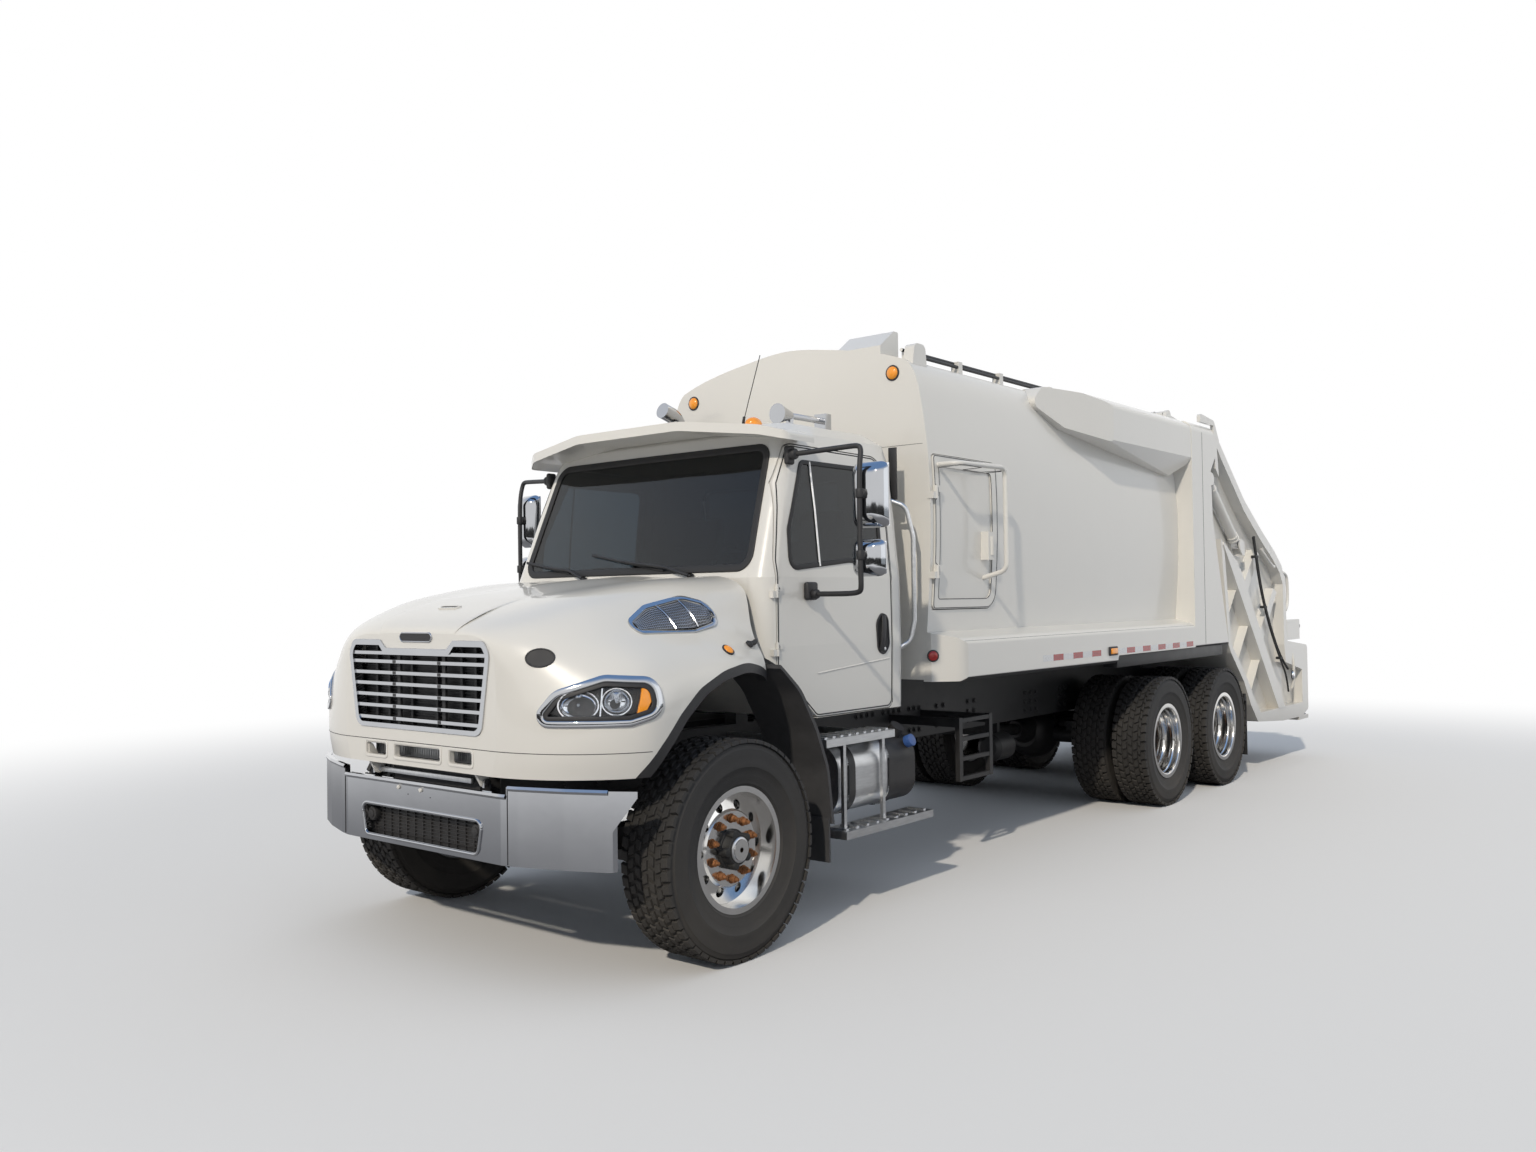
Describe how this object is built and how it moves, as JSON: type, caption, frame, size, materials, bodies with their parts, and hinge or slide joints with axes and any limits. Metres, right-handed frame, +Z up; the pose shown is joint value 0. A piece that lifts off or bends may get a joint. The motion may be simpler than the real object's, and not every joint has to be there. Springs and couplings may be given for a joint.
{
  "type": "rear-loading refuse truck",
  "caption": "Conventional-cab refuse truck with tandem rear axles, curved-side load body, lifting tailgate hopper, tilting hood and opening doors.",
  "frame": {"origin": "on the ground under the middle of the truck: half way along its length and on its centreline", "axes": "+X forward, +Y to the driver's left, +Z up"},
  "size_m": [10.062, 2.9696, 3.372],
  "materials": {
    "white_paint": "glossy warm white enamel",
    "black_paint": "satin chassis black",
    "chrome": "polished chrome",
    "bare_aluminium": "mill finish, slightly dulled",
    "polished_aluminium": "polished, brushed around the disc",
    "tyre": "dull black rubber",
    "rubber": "matte black rubber",
    "black_plastic": "moulded grain",
    "dark_trim": "dark grey moulding",
    "lamp_lens": "clear ribbed lens with chrome surround",
    "amber_lens": "amber lens",
    "tinted_glass": "tinted safety glass",
    "seat_cloth": "dark grey woven cloth",
    "raw_steel": "hard-chromed or bare steel",
    "cast_metal": "painted castings"
  },
  "bodies": {
    "truck": {"chassis_frame": "black_paint", "cross_members": "black_paint", "front_bumper": "chrome", "engine_block": "cast_metal", "driveshaft": "cast_metal", "radiator": "dark_trim", "front_axle": "black_paint", "rear_axles": "black_paint", "rear_suspension": "black_paint", "cab_shell": "white_paint", "cab_glass": "tinted_glass", "dashboard": "dark_trim", "seats": "seat_cloth", "sun_visor": "white_paint", "roof_lamps": "amber_lens", "air_horn": "chrome", "grab_handles": "black_paint", "exhaust_stack": "chrome", "cab_steps": "bare_aluminium", "fuel_tank": "bare_aluminium", "battery_box": "black_paint", "splash_guards": "dark_trim", "body_shell": "white_paint", "body_skirts": "white_paint", "rear_frame": "white_paint", "roof_pipes": "white_paint", "mudflaps": "rubber"},
    "hood": {"hood_shell": "white_paint", "grille": "chrome", "headlamps": "lamp_lens", "hood_trim": "black_plastic"},
    "door_left": {"door_left": "white_paint", "door_glass_left": "tinted_glass", "mirror_left": "chrome"},
    "door_right": {"door_right": "white_paint", "door_glass_right": "tinted_glass", "mirror_right": "chrome"},
    "access_door": {"access_door": "white_paint"},
    "knuckle_left": {"knuckle_left": "cast_metal"},
    "knuckle_right": {"knuckle_right": "cast_metal"},
    "front_wheel_left": {"front_tyre_left": "tyre", "front_rim_left": "polished_aluminium"},
    "front_wheel_right": {"front_tyre_right": "tyre", "front_rim_right": "polished_aluminium"},
    "rear_wheels_1_left": {"rear_tyres_1_left": "tyre", "rear_rims_1_left": "polished_aluminium"},
    "rear_wheels_1_right": {"rear_tyres_1_right": "tyre", "rear_rims_1_right": "polished_aluminium"},
    "rear_wheels_2_left": {"rear_tyres_2_left": "tyre", "rear_rims_2_left": "polished_aluminium"},
    "rear_wheels_2_right": {"rear_tyres_2_right": "tyre", "rear_rims_2_right": "polished_aluminium"},
    "tailgate": {"tailgate_shell": "white_paint", "tailgate_flanks": "white_paint"},
    "slide_panel": {"slide_panel": "white_paint"},
    "sweep_blade": {"sweep_blade": "white_paint"},
    "lift_barrel_left": {"lift_barrel_left": "white_paint"},
    "lift_barrel_right": {"lift_barrel_right": "white_paint"},
    "lift_rod_left": {"lift_rod_left": "raw_steel"},
    "lift_rod_right": {"lift_rod_right": "raw_steel"}
  },
  "joints": [
    {"name": "hood_tilt", "type": "hinge", "parent": "truck", "child": "hood", "pos_m": [4.9625, 0, 0.88], "axis": [0, 1, 0], "range_deg": [0, 60]},
    {"name": "door_left_hinge", "type": "hinge", "parent": "truck", "child": "door_left", "pos_m": [3.5725, 1.022, 1.8], "axis": [0, 0, -1], "range_deg": [0, 65]},
    {"name": "door_right_hinge", "type": "hinge", "parent": "truck", "child": "door_right", "pos_m": [3.5725, -1.022, 1.8], "axis": [0, 0, 1], "range_deg": [0, 65]},
    {"name": "access_door_hinge", "type": "hinge", "parent": "truck", "child": "access_door", "pos_m": [2.1455, 1.108, 2.09], "axis": [0, 0, -1], "range_deg": [0, 100]},
    {"name": "steer_left", "type": "hinge", "parent": "truck", "child": "knuckle_left", "pos_m": [4.0775, 0.905, 0.52], "axis": [0, 0, 1], "range_deg": [-38, 38]},
    {"name": "steer_right", "type": "hinge", "parent": "truck", "child": "knuckle_right", "pos_m": [4.0775, -0.905, 0.52], "axis": [0, 0, 1], "range_deg": [-38, 38]},
    {"name": "front_wheel_left_spin", "type": "hinge", "parent": "knuckle_left", "child": "front_wheel_left", "pos_m": [4.0775, 1.069, 0.52], "axis": [0, 1, 0], "continuous": true},
    {"name": "front_wheel_right_spin", "type": "hinge", "parent": "knuckle_right", "child": "front_wheel_right", "pos_m": [4.0775, -1.069, 0.52], "axis": [0, 1, 0], "continuous": true},
    {"name": "rear_wheels_1_left_spin", "type": "hinge", "parent": "truck", "child": "rear_wheels_1_left", "pos_m": [-1.2025, 0.903, 0.515], "axis": [0, 1, 0], "continuous": true},
    {"name": "rear_wheels_1_right_spin", "type": "hinge", "parent": "truck", "child": "rear_wheels_1_right", "pos_m": [-1.2025, -0.903, 0.515], "axis": [0, 1, 0], "continuous": true},
    {"name": "rear_wheels_2_left_spin", "type": "hinge", "parent": "truck", "child": "rear_wheels_2_left", "pos_m": [-2.5225, 0.903, 0.515], "axis": [0, 1, 0], "continuous": true},
    {"name": "rear_wheels_2_right_spin", "type": "hinge", "parent": "truck", "child": "rear_wheels_2_right", "pos_m": [-2.5225, -0.903, 0.515], "axis": [0, 1, 0], "continuous": true},
    {"name": "tailgate_lift", "type": "hinge", "parent": "truck", "child": "tailgate", "pos_m": [-1.9325, 0, 3.24], "axis": [0, 1, 0], "range_deg": [0, 75]},
    {"name": "packer_slide", "type": "slide", "parent": "tailgate", "child": "slide_panel", "axis": [-0.673, 0, -0.7396], "range_m": [0, 0.6]},
    {"name": "sweep_hinge", "type": "hinge", "parent": "slide_panel", "child": "sweep_blade", "pos_m": [-3.61869, 0, 1.94378], "axis": [0, 1, 0], "range_deg": [0, 110]},
    {"name": "lift_barrel_left_pin", "type": "hinge", "parent": "truck", "child": "lift_barrel_left", "pos_m": [-2.2745, 1.165, 2.7], "axis": [0, 1, 0], "range_deg": [0, 91]},
    {"name": "lift_rod_left_slide", "type": "slide", "parent": "lift_barrel_left", "child": "lift_rod_left", "axis": [-0.7979, 0, -0.6028], "range_m": [0, 0.72]},
    {"name": "lift_barrel_right_pin", "type": "hinge", "parent": "truck", "child": "lift_barrel_right", "pos_m": [-2.2745, -1.165, 2.7], "axis": [0, 1, 0], "range_deg": [0, 91]},
    {"name": "lift_rod_right_slide", "type": "slide", "parent": "lift_barrel_right", "child": "lift_rod_right", "axis": [-0.7979, 0, -0.6028], "range_m": [0, 0.72]}
  ],
  "couplings": [
    {"joint": "steer_right", "follows": "steer_left", "ratio": 1},
    {"joint": "lift_barrel_left_pin", "follows": "tailgate_lift", "ratio": 1.1954},
    {"joint": "lift_rod_left_slide", "follows": "tailgate_lift", "m_per_rad": 0.54506},
    {"joint": "lift_barrel_right_pin", "follows": "tailgate_lift", "ratio": 1.1954},
    {"joint": "lift_rod_right_slide", "follows": "tailgate_lift", "m_per_rad": 0.54506}
  ]
}
